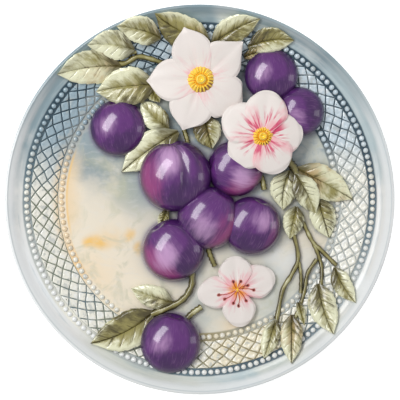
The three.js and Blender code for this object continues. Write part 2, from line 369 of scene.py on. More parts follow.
class Palette:
    """A material's node tree, with the few kinds of node that the glazes use."""

    def __init__(self, name):
        self.material = bpy.data.materials.new(name)
        self.material.use_nodes = True
        self.tree = self.material.node_tree
        self.tree.nodes.clear()
        self.object_place = self.add("ShaderNodeTexCoord", output="Object")

    def add(self, kind, settings=None, sockets=None, output=0):
        node = self.tree.nodes.new(kind)
        for key, value in (settings or {}).items():
            if key == "stops":
                self.set_stops(node.color_ramp, value)
            else:
                setattr(node, key, value)
        for key, value in (sockets or {}).items():
            if isinstance(value, Wire):
                self.tree.links.new(value.socket, node.inputs[key])
            else:
                node.inputs[key].default_value = value
        return None if output is None else Wire(self, node.outputs[output])

    def set_stops(self, ramp, stops):
        while len(ramp.elements) < len(stops):
            ramp.elements.new(0.5)
        for element, (place, colour) in zip(ramp.elements, stops):
            element.position = place
            element.color = colour

    def maths(self, operation, *values):
        return self.add("ShaderNodeMath", {"operation": operation}, dict(enumerate(values)))

    def mix(self, factor, first, second):
        settings = {"data_type": "RGBA", "clamp_factor": True}
        colours = [tint(colour) if isinstance(colour, str) else colour for colour in (first, second)]
        return self.add("ShaderNodeMix", settings, {0: factor, 6: colours[0], 7: colours[1]}, output=2)

    def value(self, name, output="Fac"):
        return self.add("ShaderNodeAttribute", {"attribute_name": name}, output=output)

    def values(self, *names):
        return [self.value(name) for name in names]

    def parts(self, vector):
        node = self.tree.nodes.new("ShaderNodeSeparateXYZ")
        self.tree.links.new(vector.socket, node.inputs[0])
        return [Wire(self, socket) for socket in node.outputs]

    def vector(self, x, y, z=0.0):
        return self.add("ShaderNodeCombineXYZ", None, {0: x, 1: y, 2: z})

    def noise(self, vector, scale, detail=2.0, roughness=0.5, distortion=0.0):
        sockets = {
            "Vector": vector,
            "Scale": scale,
            "Detail": detail,
            "Roughness": roughness,
            "Distortion": distortion,
        }
        return self.add("ShaderNodeTexNoise", None, sockets)

    def stretch(self, vector, scale, place=(0, 0, 0)):
        sockets = {"Vector": vector, "Location": place, "Scale": scale}
        return self.add("ShaderNodeMapping", None, sockets)

    def distance(self, vector, place):
        sockets = {0: vector, 1: place}
        return self.add("ShaderNodeVectorMath", {"operation": "DISTANCE"}, sockets, output="Value")

    def plan(self):
        """Wires of x, y, z and the distance from the plate's axis."""
        x, y, z = self.parts(self.object_place)
        return x, y, z, self.maths("SQRT", x * x + y * y)

    def glaze(
        self, colour, height=None, bump=0.1, roughness=0.25, coat=0.6, coat_roughness=0.05, under=0.5
    ):
        """Finish the material as a glossy glaze over painted clay."""
        sockets = {
            "Base Color": colour,
            "Roughness": roughness,
            "Coat Weight": coat,
            "Coat Roughness": coat_roughness,
            "Coat IOR": 1.5,
            "Specular IOR Level": under,
        }
        if height is not None:
            relief = {"Strength": bump, "Distance": MILLIMETRE, "Height": height}
            sockets["Normal"] = self.add("ShaderNodeBump", None, relief)
        surface = self.add("ShaderNodeBsdfPrincipled", None, sockets)
        self.add("ShaderNodeOutputMaterial", None, {"Surface": surface}, output=None)
        return self.material


def tint(name):
    """A colour of the plate's palette, as a material takes it."""
    return (*getattr(bpy.context.scene.plate_colours, name), 1.0)


# Relief tables

# Plums: middle, radius, height over the dish, direction of the axis and of the blush in degrees, place
# of the painted highlight on the plum's own disc, and how warm its paint and how deep its cleft is.
PLUM_COLUMNS = ("at", "radius", "height", "axis", "blush", "glow", "warmth", "cleft")
PLUM_ROWS = [
    ((-42, 37), 14.6, 11.5, 100, 250, (-0.45, 0.1), 0.15, 0.012),
    ((-12.5, 12), 18.6, 16.5, 97, 185, (-0.15, 0.45), 0.75, 0.15),
    ((18.5, 16), 14.5, 11, 170, 300, (0.3, -0.3), 0.8, 0.01),
    ((4.5, -9.5), 16.2, 14.5, 58, 320, (-0.15, -0.35), 0.75, 0),
    ((-13.5, -26), 16, 13, 125, 225, (-0.2, -0.2), 0.9, 0),
    ((26.8, -13.5), 15, 12, 68, 345, (0.45, 0.15), 0.5, 0),
    ((-15, -74), 15.6, 12.5, 80, 200, (-0.3, 0), 0.2, 0.01),
    ((37, 64), 13.9, 11, 95, 20, (-0.35, 0.1), 0.15, 0.01),
    ((51.5, 45.3), 12.8, 11.5, 175, 290, (-0.1, -0.2), 0.15, 0.01),
]
PLUMS = [dict(zip(PLUM_COLUMNS, row)) for row in PLUM_ROWS]

# Leaves: base, tip, width, lift over the dish, bow of the middle line, then how pale, how golden and
# how strongly veined each one is painted, and which side of its middle line is darker.
LEAVES = {
    "leaves_upper_left": [
        (-40.5, 68.5, -73, 64, 17.5, 3.4, -0.05, 0.95, 0.45, 0.8, -1),
        (-33.5, 77, -57.5, 79, 15, 3.8, -0.06, 1.1, 0.2, 0.6, -1),
        (-20, 83, -42.5, 88.5, 14, 4.2, -0.06, 0.55, 0.3, 0.7, 0),
        (5, 80.5, -22.9, 95, 17.5, 4.8, 0.05, -0.25, 0.3, 0.8, 1),
        (-22.5, 59, -53.5, 55.5, 19.5, 7, -0.03, 0.5, 0.35, 0.7, 1),
    ],
    "leaves_middle": [
        (-27.5, 60, -20.5, 50, 8, 5.5, 0, 0.1, 0.4, 0.5, 0),
        (-16, 36.5, -30.5, 51, 12.5, 6, 0.05, 0.75, 0.1, 0.6, -1),
        (-11, 35, -40.5, 14, 17, 6.2, -0.03, 0.7, 0.1, 1.0, 1),
        (2, 43, 6.5, 26, 14.5, 4.5, 0, 0.2, 0.4, 1.0, -1),
        (-17, -6, -21, -15, 6, 3, 0, 0.1, 0.2, 0.5, 0),
    ],
    "leaves_upper_right": [
        (6, 79, 31, 92.5, 14, 4.4, 0.06, 0.3, 0.3, 0.8, -1),
        (24.8, 78.5, 48.5, 81.5, 13, 4, 0.08, 0.2, 0.3, 0.8, 1),
        (23, 73.5, 36, 76, 6, 3.4, 0.06, 0.3, 0.5, 1.0, 1),
    ],
    "leaves_right": [
        (50, 16, 79, 0, 17, 4.4, 0.01, 0.7, 0.55, 0.8, -1),
        (49.5, 13, 60, -7.5, 13, 6, 0.03, 0.65, 0.1, 0.6, -1),
        (46.5, 15, 43, -5.5, 14.5, 4.2, -0.07, 0.7, 0.15, 0.8, 1),
        (50, -3.5, 46.5, -20.5, 11, 4, 0, 0.5, 0.15, 0.5, 1),
        (61, 0.5, 67, -20, 13.5, 3.2, 0, 0.8, 0.15, 1.1, 1),
    ],
    "leaves_lower_right": [
        (61, -43.5, 68.5, -69, 14.5, 3.8, -0.04, 0.6, 0.2, 0.9, 0),
        (69.5, -35, 80, -53, 10, 3.2, -0.05, 0.6, 0.2, 0.8, -1),
        (47.5, -59.5, 47, -84, 11.5, 4, 0, 0.7, 0.55, 0.9, 1),
        (51, -53, 54, -65, 4.5, 3, 0, 0.3, 0.2, 0.4, 0),
        (39.5, -62, 33, -82, 9, 3.4, 0, 0.65, 0.1, 0.7, 1),
    ],
    "leaves_lower_left": [
        (-14, -53, -35.5, -46, 12, 4, 0.02, 0.75, 0.3, 0.6, 1),
        (-24, -58.5, -56, -74, 19, 4, 0.07, 0.2, 0.2, 1.1, -1),
    ],
}

# Stems: points of the middle line, and the thickness
STEMS = {
    "stems_left": [
        ([(-46, 71), (-39, 70), (-32, 73.5), (-25, 72.5), (-18, 70)], 3),
        ([(-4, -38), (-4, -44), (-7, -50), (-13, -54.5), (-25, -59.5)], 3.8),
        ([(-9, -64), (-4, -59), (1, -55.5)], 3.4),
        ([(4, -24), (6, -30), (8, -34.5)], 3),
        ([(-8, 36), (-6.5, 31), (-5.5, 26.5)], 2.6),
        ([(-45, 72), (-39, 74.5), (-32.5, 76)], 2.2),
    ],
    "stems_right": [
        ([(53, -11), (58.4, -21.8), (62.8, -26.2), (70.5, -34)], 2.4),
        ([(59, -23), (61.5, -29), (63.2, -36), (62.5, -46)], 2.2),
        ([(48.5, -17), (51, -30), (47.5, -39), (43, -47), (39.5, -64)], 2.6),
        ([(50.8, -29), (52.4, -39), (52.2, -48.5)], 2),
        ([(60.5, -31), (56, -38), (54.5, -46), (52.5, -53), (49, -62)], 2.2),
        ([(30.5, 15), (32.5, 10), (33.5, 5)], 3),
        ([(46, 20), (49, 16), (51, 11)], 4.5),
    ],
}

# Half widths of leaves and petals from base to tip, as shares of the greatest
LEAF_WIDTHS = [0.14, 0.72, 0.98, 0.96, 0.86, 0.56, 0.04]
BUD_WIDTHS = [0.5, 1, 0.8, 0.06]
POINTED_WIDTHS = [0.4, 0.72, 0.94, 1.02, 0.96, 0.68, 0.08]
BLUNT_WIDTHS = [0.4, 0.68, 0.88, 1.0, 1.06, 0.98, 0.56]
CORNER_WIDTHS = [0.4, 0.72, 0.98, 1.06, 0.92, 0.52, 0.1]
ROUND_WIDTHS = [0.3, 0.42, 0.55, 0.69, 0.82, 0.93, 0.98, 0.98, 0.95, 0.9, 0.83, 0.73, 0.56]

# Petals: direction in degrees, length, width, half widths along it, and how far it lies over the rest.
# The last row of a blossom is the lift over the dish, the droop at the petals' tips, how far their
# undersides draw in, the heart's radius, and how strong the pink wash and the streaks are.
BLOSSOM_COLUMNS = ("lift", "droop", "pull", "heart", "wash", "streaks")
BLOSSOMS = [
    {
        "at": (0.7, 61.5),
        "petals": [
            (108, 28, 20.5, POINTED_WIDTHS, 0.4),
            (42, 28.8, 20.5, CORNER_WIDTHS, 0),
            (-36, 24.5, 22.5, BLUNT_WIDTHS, 0.4),
            (250, 27.5, 22.5, POINTED_WIDTHS, -0.1),
            (181, 28, 21.5, POINTED_WIDTHS, 0.2),
        ],
        **dict(zip(BLOSSOM_COLUMNS, (9, 1.8, 0.3, 7.3, 0.33, 0.08))),
    },
    {
        "at": (32.3, 32.2),
        "petals": [
            (83, 23.8, 23, ROUND_WIDTHS, 0.9),
            (7, 20.8, 22, ROUND_WIDTHS, 0),
            (-63, 20.6, 22, ROUND_WIDTHS, 0.8),
            (218, 20.2, 22, ROUND_WIDTHS, -0.1),
            (147, 23.4, 23, ROUND_WIDTHS, 0.4),
        ],
        **dict(zip(BLOSSOM_COLUMNS, (12.5, 1.6, 0.3, 6, 0.58, 1))),
    },
    {
        "at": (19.5, -46.5),
        "petals": [
            (95, 17.2, 18.5, ROUND_WIDTHS, 0.7),
            (22, 20.6, 18, ROUND_WIDTHS, 0),
            (-85, 19.4, 17.5, ROUND_WIDTHS, 0.6),
            (188, 20.8, 17, ROUND_WIDTHS, 0.1),
        ],
        **dict(zip(BLOSSOM_COLUMNS, (3.2, 0.2, 0, 1.7, 0.5, 0.25))),
    },
]

# Tips of the painted stamens of the flat blossom, from its middle
STAMENS = [
    (-9.6, -2.8), (-6.6, -5), (-2.1, -7.1), (0.6, -8.5), (4.5, -5.8),
    (8.5, -0.3), (5.4, 2), (1.8, 4.2), (-2.1, 4.1),
]

# How far noise shifts the washes
WASH_DRIFT = 0.024

# Washes on the ground of the dish: place, radius, colour and strength
WELL_WASHES = [
    ((-10, 60), 90, "well_blue", 0.9),
    ((30, -60), 62, "well_grey", 0.9),
    ((-52, -10), 30, "well_cream", 0.6),
    ((-62, 10), 20, "well_cream", 0.7),
    ((-50, 14), 14, "well_blue", 0.55),
    ((-54, -23), 7, "orange", 0.85),
    ((-48, -19), 8, "orange", 0.3),
    ((-39, -17), 5, "orange", 0.6),
    ((-33, -25), 5, "orange", 0.7),
    ((-60, -45), 24, "peach", 0.35),
    ((20, -68), 12, "peach", 0.6),
    ((-6, -36), 12, "well_blue", 0.6),
    ((60, 20), 20, "well_grey", 0.7),
    ((-45, 18), 24, "well_blue", 0.8),
    ((-51, 18), 19, "groove_slate", 0.5),
    ((-33, 2), 17, "well_blue", 0.55),
    ((-40, 6), 16, "well_sage", 0.5),
    ((-50, 20), 10, "well_sage", 0.5),
    ((38, -38), 13, "well_blue", 0.45),
    ((2, -58), 13, "well_blue", 0.45),
    ((40, -26), 10, "band_white", 0.6),
    ((50, -34), 13, "band_white", 0.6),
    ((-2, -48), 9, "band_white", 0.4),
    ((30, -64), 9, "band_white", 0.5),
]

# Washes on the rim, given in the same way
RIM_WASHES = [
    ((0, 91.5), 14, "rim_slate", 0.5),
    ((3, 88), 6, "groove_slate", 0.4),
    ((14, 97), 10, "rim_white", 0.6),
    ((60, -73), 10, "groove_pale", 0.5),
    ((84, -42), 9, "band_white", 0.7),
]

# Paints round the plate, each with the angles in degrees where it stands at its purest
GROOVE_STOPS = {
    "groove_pale": (8, 325, 345),
    "groove_blue": (24, 150),
    "groove_slate": (168, 222, 312),
    "groove_sage": (182, 205, 236, 262),
    "groove_tan": (278, 298),
}
GUTTER_STOPS = {
    "groove_blue": (6, 150, 300),
    "groove_slate": (172, 262, 318, 345),
    "groove_pale": (196, 244, 330),
    "band_cream": (222,),
}
INNER_STOPS = {
    "groove_pale": (12, 130, 160, 305, 345),
    "groove_blue": (24, 70),
    "groove_slate": (110,),
    "well_cream": (176, 190, 218),
    "peach": (205,),
    "band_tan": (250,),
    "groove_tan": (275,),
}
CELL_STOPS = {
    "band_cream": (6, 176, 264, 312, 336),
    "band_blue": (22, 96),
    "band_steel": (120, 158),
    "band_tan": (280, 294),
}
RIM_STOPS = {
    "rim_white": (2, 186, 228, 318, 340),
    "rim_blue": (15, 38, 64, 284),
    "rim_slate": (51, 88, 160),
    "band_white": (204,),
    "well_grey": (243, 264, 299),
}


# Pieces


def dish_outline(form):
    """Half section of the dish from its middle over the lip to the underside's middle."""
    sizes = form.sizes
    lip_half = sizes.lip / 2
    top_radii = np.concatenate(
        (
            np.linspace(0, form.well_edge, 78),
            np.linspace(form.well_edge, form.radius - sizes.lip * 0.62, 42)[1:],
        )
    )
    section = [(r, form.top(r)) for r in top_radii]
    lip_centre = (form.radius - lip_half * 0.82, sizes.height - lip_half * 0.86)
    for turn in np.radians(np.linspace(96, -70, 14)):
        reach = lip_half * 0.82
        section.append((lip_centre[0] + reach * math.cos(turn), lip_centre[1] + reach * math.sin(turn)))
    drop = sizes.wall * 1.02
    under_radii = np.linspace(form.rim_inner + 3 * MILLIMETRE, form.well_edge - 3 * MILLIMETRE, 16)
    section += [(r, form.top(r) - drop) for r in under_radii]
    foot = sizes.foot_diameter / 2
    taper = sizes.foot_width * 0.18
    inner = foot - sizes.foot_width
    round_off = sizes.foot_width * 0.16
    section += [
        (foot + taper + 2 * MILLIMETRE, sizes.foot_height * 0.97),
        (foot + taper, sizes.foot_height * 0.86),
        (foot + taper * 0.3, round_off),
        (foot - round_off, 0),
        (inner + round_off, 0),
        (inner - taper * 0.3, round_off),
        (inner - taper, sizes.foot_height * 0.86),
        (inner - taper - 2 * MILLIMETRE, sizes.foot_height),
    ]
    section += [(r, sizes.foot_height) for r in np.linspace(inner * 0.9, 0, 10)]
    return section


def outline_of_blade(form, spec, count=28):
    """Edge of a leaf or petal on the plan, as a closed line of points."""
    t = np.concatenate((np.linspace(0, 1, count), np.linspace(1, 0, count)))
    s = np.concatenate((np.ones(count), -np.ones(count)))
    return blade_plan(form, spec, t, s)


def nearness(points, lines, reach):
    """1 at any of the lines, falling to 0 at a few times the reach."""
    nearest = np.full(len(points), 1.0)
    for line in lines:
        for start, end in zip(line[:-1], line[1:]):
            along = end - start
            size = max(float(along @ along), 1e-12)
            part = np.clip((points - start) @ along / size, 0, 1)
            gap = points - start - part[:, None] * along
            nearest = np.minimum(nearest, from_axis(gap))
    return np.exp(-((nearest / reach) ** 1.3))


def circle_line(form, at, radius, count=40):
    turn = np.linspace(0, 2 * math.pi, count + 1)
    place = np.array(at) + radius * np.stack((np.cos(turn), np.sin(turn)), axis=1)
    return place * form.share


def turn_ramp(palette, x, y, blur, paints):
    """A colour that follows the direction from the plate's middle, by a table of paints and angles."""
    stops = sorted((angle, name) for name, angles in paints.items() for angle in angles)
    turn = palette.maths("ARCTAN2", y, x) * (0.5 / math.pi) + blur
    turn = palette.maths("FRACT", turn + 1)
    first, last = stops[0], stops[-1]
    gap = first[0] + 360 - last[0]
    part = (360 - last[0]) / gap
    seam = [a + (b - a) * part for a, b in zip(tint(last[1]), tint(first[1]))]
    marks = [(0, seam)] + [(angle / 360, tint(name)) for angle, name in stops] + [(1, seam)]
    return palette.add("ShaderNodeValToRGB", {"stops": marks}, {0: turn})


def drifting_place(palette, x, y):
    """The place on the plan, shifted by noise, so that paint laid by it has uneven edges."""
    sockets = {"Vector": palette.object_place, "Scale": 26, "Detail": 3}
    unrest = palette.add("ShaderNodeTexNoise", None, sockets, output="Color")
    sockets = {0: unrest, 1: (WASH_DRIFT, WASH_DRIFT, 0), 2: palette.vector(x, y)}
    return palette.add("ShaderNodeVectorMath", {"operation": "MULTIPLY_ADD"}, sockets)


def lay_washes(palette, ground, drift, washes, softness):
    """Lay round washes over a ground. drift is its drifting place."""
    share = PlateForm().share
    shift = Vector((WASH_DRIFT / 2, WASH_DRIFT / 2, 0))
    for place, reach, name, strength in washes:
        gap = palette.distance(drift, Vector((*place, 0)) * share + shift)
        ground = ground.mix(gap.ease(reach * share, reach * share * softness) * strength, name)
    return ground


def dish_material():
    palette = Palette("dish_glaze_paint")
    place = palette.object_place
    x, y, z, radius = palette.plan()
    form = PlateForm()
    share = form.share
    edge = form.well_edge
    cloud = palette.noise(place, 34, 4, 0.6)
    unrest = cloud - 0.5
    drift = drifting_place(palette, x, y)
    ground = palette.mix((y + cloud * 0.05).ease(-0.02, 0.09), "well_cream", "well_blue")
    ground = lay_washes(palette, ground, drift, WELL_WASHES, 0.15)
    patches = palette.noise(palette.stretch(drift, (1, 1, 1), (0.31, 0.17, 0)), 62, 4, 0.62, 0.6)
    upper = (y + x * 0.3 + cloud * 0.05).ease(0, 0.05)
    ground = ground.mix(patches.ease(0.47, 0.6) * upper * 0.9, "well_blue")
    ground = ground.mix(patches.ease(0.58, 0.72) * upper * 0.6, "groove_slate")
    ground = ground.mix(patches.ease(0.5, 0.34) * 0.5, "well_sage")
    ground = ground.mix(cloud.ease(0.5, 0.68) * 0.45, "well_cream")
    brush = palette.noise(palette.stretch(drift, (1, 2.6, 1)), 130, 3, 0.6)
    ground = ground.mix(brush.ease(0.5, 0.68) * 0.2, "rim_white")
    # Painted shade round the relief on the dish: blue-grey and violet close to the plums, dark blue round
    # the leaves, petals and stems
    near_leaf, near_plum = palette.values("near_leaf", "near_plum")
    ground = ground.mix(near_plum * (cloud * 0.6 + 0.15), "well_blue")
    ground = ground.mix(near_plum**4 * 0.7, "plum_violet")
    shade_blue = (y + x * 0.4 + cloud * 0.04).ease(-0.06, 0.06) * 0.6 + 0.2
    ground = ground.mix(near_leaf**2 * (cloud * shade_blue), "groove_blue")

    # The warm glaze at the left edge of the well, and the pattern's grooves and gutters
    warm_side = palette.distance(place, (-70 * share, 4 * share, 0.0125)).ease(26 * share, 12 * share)
    warm_line = palette.maths("ABSOLUTE", radius - edge + 0.0012).ease(0.0016, 0.0002)
    ground = ground.mix(warm_side * warm_line * 0.8, "orange")
    warm_glow = (radius + unrest * 0.008).ease(edge - 0.013, edge - 0.001)
    ground = ground.mix(warm_side * warm_glow * 0.55, "peach")
    blur = unrest * 0.05
    inner = turn_ramp(palette, x, y, blur, INNER_STOPS)
    colour = ground.mix((radius + unrest * 0.0014).ease(edge - 0.0014, edge - 0.0002), inner)
    gutter = turn_ramp(palette, x, y, blur, GUTTER_STOPS)
    colour = colour.mix(radius.ease(form.lattice_outer - 0.001, form.lattice_outer), gutter)

    # The rim, the lip with its painted light and shade, and the bare edge of the foot ring
    rim_start = (radius + unrest * 0.0012).ease(form.rim_inner + 0.0002, form.rim_inner + 0.0013)
    turned = palette.vector(palette.maths("ARCTAN2", y, x), radius)
    streak = palette.noise(palette.stretch(turned, (2.4, 260, 1)), 1, 4, 0.6)
    rim = turn_ramp(palette, x, y, unrest * 0.12, RIM_STOPS)
    rim = rim.mix((streak + unrest * 0.5).ease(0.42, 0.75) * 0.55, "rim_white")
    rim = rim.mix((streak + unrest * 0.4).ease(0.5, 0.28) * 0.4, "rim_slate")
    rim = lay_washes(palette, rim, drift, RIM_WASHES, 0.3)
    # Painted light and shade on the lip: lighter on its lower side, darker on its upper side
    lip = (radius + unrest * 0.002).ease(form.radius - 0.0075, form.radius - 0.004)
    lip_shade_side = (y + unrest * 0.02).ease(0.03, 0.1)
    rim = rim.mix(lip * (1 - lip_shade_side) * 0.75, "band_white")
    rim = rim.mix(lip * lip_shade_side * 0.45, "groove_slate")
    colour = colour.mix(rim_start, rim)
    # Painted shade: a thin darker line just inside the lip
    lip_shade_line = palette.maths("ABSOLUTE", radius - (form.radius - 0.0021)).ease(0.0006, 0.0001)
    colour = colour.mix(lip_shade_line * 0.3, "rim_slate")
    colour = colour.mix(z.ease(0.0007, 0.0002), "bisque")
    grain = palette.noise(place, 160, 2)
    return palette.glaze(colour, grain, 0.12, coat=rim_start * -0.28 + 0.4, coat_roughness=0.16)


def border_material():
    """Pale glaze on beads and cells, with darker glaze gathered low down."""
    palette = Palette("border_glaze_paint")
    place = palette.object_place
    x, y, _, radius = palette.plan()
    cloud = palette.noise(place, 55, 3, 0.6)
    unrest = cloud - 0.5
    fine = palette.noise(place, 420, 3, 0.65)
    daub = palette.noise(place, 210, 3, 0.6, 0.5)
    form = PlateForm()
    share = form.share
    inner, outer = form.lattice_inner, form.lattice_outer
    tables = (CELL_STOPS, GROOVE_STOPS, GUTTER_STOPS, INNER_STOPS)
    top, groove, gutter, inside = [turn_ramp(palette, x, y, unrest * 0.07, table) for table in tables]
    pale_side = (y - x * 0.6).ease(0.09, 0.02)
    top = top.mix(daub.ease(0.5, 0.62) * (pale_side * 0.45 + 0.05), "band_white")
    top = top.mix(daub.ease(0.48, 0.36) * 0.65, "groove_pale")
    peach_side = palette.distance(place, (-80 * share, 0, 0.0125)).ease(0.05, 0.02)
    top = top.mix(peach_side * radius.ease(inner + 0.006, inner - 0.002) * 0.75, "peach")
    top = top.mix(radius.ease(outer, outer + 0.001) * y.ease(0, -0.05) * 0.8, "band_white")
    top = top.mix(fine.ease(0.5, 0.8) * 0.35, "groove_pale")
    groove = groove.mix(radius.ease(outer - 0.001, outer), gutter)
    groove = groove.mix(radius.ease(inner, inner - 0.001), inside)
    faded = palette.distance(place, (-62 * share, 45 * share, 0.014)).ease(0.034, 0.012)
    faded = faded * radius.ease(inner + 0.01, inner + 0.002)
    groove = groove.mix(faded * (cloud * 1.4), "groove_pale")
    groove = groove.mix(daub.ease(0.5, 0.64) * (pale_side * 0.5), "groove_pale")
    pool = palette.value("pool") - pale_side * 0.2 + 0.2
    depth = (pool + unrest * 0.9 + (fine - 0.5) * 0.6 + (daub - 0.5) * -0.7).ease(0.4, 1)
    return palette.glaze(top.mix(depth, groove), palette.noise(place, 600, 2), 0.15)


class PLATE_OT_add_dish(bpy.types.Operator):
    """Turn the dish with its foot ring and rim, and bore its two wire holes"""

    bl_idname = "wall_plate.add_dish"
    bl_label = "Add dish"

    def execute(self, context):
        form = PlateForm()
        sizes = form.sizes
        section = dish_outline(form)
        edges = [(i, i + 1) for i in range(len(section) - 1)]
        dish = mesh_object("dish", [(r, 0, z) for r, z in section], edges)
        in_edit_mode(
            dish,
            lambda: bpy.ops.mesh.spin(steps=240, angle=2 * math.pi, center=(0, 0, 0), axis=(0, 0, 1)),
        )
        close_up(dish)
        ring_middle = (sizes.foot_diameter - sizes.foot_width) / 2
        for side in (-1, 1):
            turn = Matrix.Rotation(side * sizes.hole_angle, 4, "Z")
            centre = turn @ Vector((0, ring_middle, sizes.foot_height / 2))
            deselect()
            bpy.ops.mesh.primitive_cylinder_add(
                vertices=24,
                radius=sizes.hole / 2,
                depth=sizes.foot_width * 3,
                location=centre,
                rotation=(math.radians(90), 0, side * sizes.hole_angle),
            )
            drill = context.object
            take(dish)
            cut = dish.modifiers.new("wire_hole", "BOOLEAN")
            cut.operation = "DIFFERENCE"
            cut.object = drill
            bpy.ops.object.modifier_apply(modifier=cut.name)
            bpy.data.objects.remove(drill)
        close_up(dish)
        points = points_of(dish)[:, :2]
        plums = [circle_line(form, plum["at"], plum["radius"]) for plum in PLUMS]
        blades = [outline_of_blade(form, leaf_spec(row)) for rows in LEAVES.values() for row in rows]
        blades += [outline_of_blade(form, spec) for blossom in BLOSSOMS for spec in petal_specs(blossom)]
        blades += [np.array(line) * form.share for lines in STEMS.values() for line, _ in lines]
        # How near each point lies to the relief, for the painted shade round it
        keep_values(
            dish,
            near_plum=nearness(points, plums, 3.4 * MILLIMETRE),
            near_leaf=nearness(points, blades, 2.2 * MILLIMETRE),
        )
        finish(dish, "dish", dish_material())
        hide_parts("plate")
        return {"FINISHED"}


class PLATE_OT_add_lattice(bpy.types.Operator):
    """Lay the band of diamond cells between the two rows of beads"""

    bl_idname = "wall_plate.add_lattice"
    bl_label = "Add lattice band"

    def execute(self, context):
        form = PlateForm()
        sizes = form.sizes
        count = round(math.pi * (form.lattice_inner + form.lattice_outer) / sizes.lattice_pitch)
        half_rows = 5
        row_step = sizes.lattice_width / half_rows
        half_turn = math.pi / count
        chance = random.Random(7)
        slack = 0.55 * MILLIMETRE
        points = []
        index = {}
        for row in range(half_rows + 1):
            for column in range(2 * count):
                if (row + column) % 2:
                    continue
                radius = form.lattice_inner + row * row_step
                turn = column * half_turn + chance.uniform(-slack, slack) / radius
                if 0 < row < half_rows:
                    radius += chance.uniform(-slack, slack)
                index[row, column] = len(points)
                points.append((radius * math.cos(turn), radius * math.sin(turn)))
        faces = []
        for row in range(half_rows + 1):
            for column in range(1 - row % 2, 2 * count, 2):
                around = [(row, column - 1), (row + 1, column), (row, column + 1), (row - 1, column)]
                corners = [index[r, c % (2 * count)] for r, c in around if 0 <= r <= half_rows]
                faces.append(corners)
        flat = np.array(points)
        level = form.top_at(flat) + sizes.clearance
        band = mesh_object("lattice_band", np.column_stack((flat, level)), (), faces)
        groove = 0.22 * MILLIMETRE
        in_edit_mode(band, lambda: bpy.ops.mesh.inset(thickness=groove, use_individual=True))
        self.raise_cells(band, sizes.lattice_depth)
        under = sizes.clearance + form.sink / 2
        extrude(band, 0)
        places = points_of(band)
        below = ~np.array([v.select for v in band.data.vertices])
        places[below, 2] = form.top_at(places[below]) - under
        move_points(band, places)
        turn_outwards(band)
        places = points_of(band)
        raised = places[:, 2] - (form.top_at(places) + sizes.clearance)
        keep_values(band, pool=1 - np.clip(raised / sizes.lattice_depth, 0, 1))
        finish(band, "lattice_band", border_material(), 60)
        return {"FINISHED"}

    def raise_cells(self, band, depth):
        """Lift each cell as a pillow with a shallow dimple. The inset leaves the cells selected."""
        take(band)
        bpy.ops.object.mode_set(mode="EDIT")
        for inward, upward in ((0.16, 0.45), (0.2, 0.28), (0.3, 0.14), (0.6, 0.02), (0.5, -0.16)):
            inward *= MILLIMETRE
            bpy.ops.mesh.inset(thickness=inward, depth=depth * upward, use_individual=True)
        bpy.ops.object.mode_set(mode="OBJECT")


class PLATE_OT_add_beads(bpy.types.Operator):
    """Model one bead and set it round the plate in two rows"""

    bl_idname = "wall_plate.add_beads"
    bl_label = "Add beads"

    def execute(self, context):
        form = PlateForm()
        sizes = form.sizes
        material = border_material()
        half = sizes.bead_width / 2
        rows = {
            "beads_inner": form.lattice_inner - sizes.gutter - half,
            "beads_outer": form.lattice_outer + sizes.gutter + half,
        }
        bead = ball(12, 10)
        in_edit_mode(
            bead,
            lambda: bpy.ops.mesh.bisect(
                plane_co=(0, 0, -0.35), plane_no=(0, 0, 1), clear_inner=True, use_fill=True
            ),
        )
        shape = points_of(bead)
        lift = sizes.bead_height + sizes.clearance
        keep_values(bead, pool=1 - np.clip((shape[:, 2] + 0.05) * 1.15, 0, 1))
        chance = random.Random(11)
        for name, radius in rows.items():
            count = round(2 * math.pi * radius / sizes.bead_pitch)
            copies = []
            for i in range(count):
                turn = (i + 0.5 + chance.uniform(-0.05, 0.05)) * 2 * math.pi / count
                grown = chance.uniform(0.94, 1.06)
                copy = bead.copy()
                copy.data = bead.data.copy()
                context.collection.objects.link(copy)
                slope = math.atan2(form.top(radius + half) - form.top(radius - half), 2 * half)
                place = (
                    Matrix.Rotation(turn, 4, "Z")
                    @ Matrix.Translation((radius, 0, float(form.top(radius))))
                    @ Matrix.Rotation(-slope, 4, "Y")
                    @ Matrix.Diagonal((half * grown, half * chance.uniform(0.96, 1.06), lift, 1))
                )
                copy.data.transform(place)
                copies.append(copy)
            finish(join(copies), name, material, 60)
        bpy.data.objects.remove(bead)
        return {"FINISHED"}


# Plums


def plum_material():
    palette = Palette("plum_glaze_paint")
    uv = palette.add("ShaderNodeTexCoord", output="UV")
    x, y, _ = palette.parts(palette.value("plum_place", "Vector"))
    blush, glow, crease = palette.values("blush", "glow", "crease")
    strokes = palette.noise(palette.stretch(uv, (30, 3.2, 1)), 1, 4, 0.6, 0.8) - 0.5
    broad = palette.noise(palette.stretch(uv, (7, 2.6, 1), (3.3, 0.7, 0)), 1, 3, 0.55, 0.7)
    threads = palette.noise(palette.stretch(uv, (120, 8, 1), (1.7, 0.3, 0)), 1, 3, 0.6, 0.5)
    sway = broad - 0.5
    base = palette.mix(broad.ease(0.34, 0.66) * 0.75 + 0.25, "plum_dark", "plum_violet")
    base = base.mix((blush + strokes * 0.5 + sway * 0.7).ease(0.15, 0.75) * 0.95, "plum_magenta")
    # Painted highlight: pale lilac round a spot on each plum's disc
    base = base.mix((glow + strokes * 0.7 + sway * 0.5).ease(0.3, 1.05) * 0.8, "plum_lilac")
    base = base.mix(threads.ease(0.52, 0.75) * 0.14, "plum_lilac")
    edge = palette.maths("SQRT", x * x + y * y) + sway * 0.12
    base = base.mix(edge.ease(0.8, 1) * 0.85, "plum_dark")
    # Painted shade in the cleft; the plums also darken towards their outlines
    base = base.mix(crease * 0.75, "plum_dark")
    grain = palette.noise(palette.object_place, 220, 2)
    return palette.glaze(base, grain, 0.06, roughness=0.3, coat=1, coat_roughness=0.1, under=0.25)


